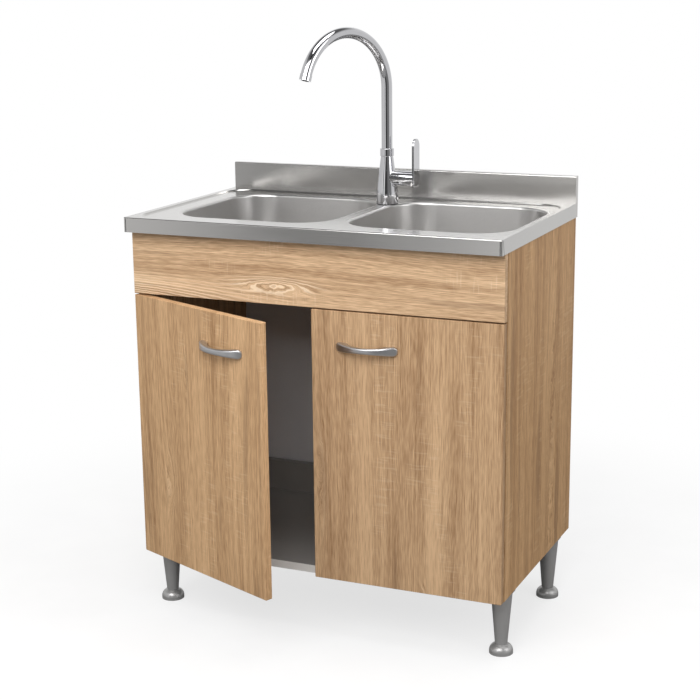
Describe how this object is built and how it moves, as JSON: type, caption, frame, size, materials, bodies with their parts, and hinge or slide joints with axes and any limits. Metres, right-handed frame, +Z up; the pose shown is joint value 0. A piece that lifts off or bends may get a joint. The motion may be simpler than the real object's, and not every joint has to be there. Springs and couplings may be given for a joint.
{
  "type": "kitchen sink base cabinet",
  "caption": "Free-standing kitchen base cabinet with hinged oak decor doors, a pressed steel sink top with bowls and upstand, a swan-neck mixer tap and levelling legs.",
  "frame": {"origin": "on the floor, under the middle of the sink top's outline", "axes": "+X to the right along the front, +Y to the back, towards the wall, +Z up"},
  "size_m": [0.8, 0.6253, 1.2175],
  "materials": {
    "oak_decor": "printed light oak decor, satin, grain along the longest side",
    "carcass_board": "pale grey melamine board",
    "back_board": "pale grey lacquered hardboard",
    "dowel_wood": "plain beech",
    "sink_steel": "brushed stainless steel sheet",
    "tap_chrome": "polished chrome plate",
    "tap_brass": "turned brass",
    "hose_steel": "fine steel braid",
    "hinge_nickel": "nickel plate",
    "zinc_steel": "bright zinc plate",
    "handle_satin": "satin nickel finish",
    "leg_grey": "silver-grey satin plastic",
    "waste_plastic": "white moulded plastic",
    "cartridge_plastic": "dark grey moulded plastic",
    "seal_rubber": "black rubber"
  },
  "bodies": {
    "cabinet": {"left_side_panel": "oak_decor", "right_side_panel": "oak_decor", "fascia_panel": "oak_decor", "bottom_panel": "carcass_board", "front_rail": "carcass_board", "rear_top_rail": "carcass_board", "rear_bottom_rail": "carcass_board", "back_panel": "back_board", "carcass_dowels": "dowel_wood", "sink_top": "sink_steel", "left_bowl": "sink_steel", "right_bowl": "sink_steel", "left_waste_flange": "sink_steel", "right_waste_flange": "sink_steel", "tap_body": "tap_chrome", "spout_collar": "tap_chrome", "tap_fixing_nut": "tap_brass", "cartridge_nut": "tap_brass", "tap_inlet_tails": "hose_steel", "hinge_plates": "hinge_nickel", "left_hinge_arms": "hinge_nickel", "right_hinge_arms": "hinge_nickel", "fascia_screws": "zinc_steel", "panel_screws": "zinc_steel", "waste_screws": "zinc_steel", "sink_clips": "zinc_steel", "leg_plates": "zinc_steel", "tap_backing_washer": "zinc_steel", "legs": "leg_grey", "left_waste_body": "waste_plastic", "right_waste_body": "waste_plastic", "tap_cartridge": "cartridge_plastic", "waste_gaskets": "seal_rubber", "tap_base_gasket": "seal_rubber"},
    "left_door": {"left_door": "oak_decor", "left_handle": "handle_satin", "left_handle_screws": "zinc_steel", "left_hinge_cups": "hinge_nickel", "left_hinge_pins": "hinge_nickel", "left_cup_screws": "zinc_steel"},
    "right_door": {"right_door": "oak_decor", "right_handle": "handle_satin", "right_handle_screws": "zinc_steel", "right_hinge_cups": "hinge_nickel", "right_hinge_pins": "hinge_nickel", "right_cup_screws": "zinc_steel"},
    "spout": {"spout_tube": "tap_chrome", "aerator": "tap_chrome"},
    "hub": {"tap_hub": "tap_chrome", "cartridge_spindle": "tap_brass", "lever_pin": "hinge_nickel"},
    "lever": {"tap_lever": "tap_chrome"},
    "front_left_foot": {"front_left_foot": "leg_grey"},
    "front_right_foot": {"front_right_foot": "leg_grey"},
    "rear_left_foot": {"rear_left_foot": "leg_grey"},
    "rear_right_foot": {"rear_right_foot": "leg_grey"},
    "left_strainer": {"left_strainer_basket": "sink_steel"},
    "right_strainer": {"right_strainer_basket": "sink_steel"}
  },
  "joints": [
    {"name": "left_door_swing", "type": "hinge", "parent": "cabinet", "child": "left_door", "pos_m": [-0.3895, -0.2195, 0.4085], "axis": [0, 0, -1], "range_deg": [-23, 72]},
    {"name": "right_door_swing", "type": "hinge", "parent": "cabinet", "child": "right_door", "pos_m": [0.3895, -0.2195, 0.4085], "axis": [0, 0, 1], "range_deg": [0, 95]},
    {"name": "spout_swivel", "type": "hinge", "parent": "cabinet", "child": "spout", "pos_m": [0.02, 0.125, 0.948], "axis": [0, 0, 1], "continuous": true},
    {"name": "mix_turn", "type": "hinge", "parent": "cabinet", "child": "hub", "pos_m": [0.066, 0.125, 0.902], "axis": [1, 0, 0], "range_deg": [-45, 45]},
    {"name": "flow_tilt", "type": "hinge", "parent": "hub", "child": "lever", "pos_m": [0.074, 0.125, 0.902], "axis": [0, 1, 0], "range_deg": [0, 25]},
    {"name": "front_left_foot_screw", "type": "slide", "parent": "cabinet", "child": "front_left_foot", "axis": [0, 0, -1], "range_m": [0, 0.015]},
    {"name": "front_right_foot_screw", "type": "slide", "parent": "cabinet", "child": "front_right_foot", "axis": [0, 0, -1], "range_m": [0, 0.015]},
    {"name": "rear_left_foot_screw", "type": "slide", "parent": "cabinet", "child": "rear_left_foot", "axis": [0, 0, -1], "range_m": [0, 0.015]},
    {"name": "rear_right_foot_screw", "type": "slide", "parent": "cabinet", "child": "rear_right_foot", "axis": [0, 0, -1], "range_m": [0, 0.015]},
    {"name": "left_strainer_lift", "type": "slide", "parent": "cabinet", "child": "left_strainer", "axis": [0, 0, 1], "range_m": [0, 0.012]},
    {"name": "right_strainer_lift", "type": "slide", "parent": "cabinet", "child": "right_strainer", "axis": [0, 0, 1], "range_m": [0, 0.012]}
  ]
}
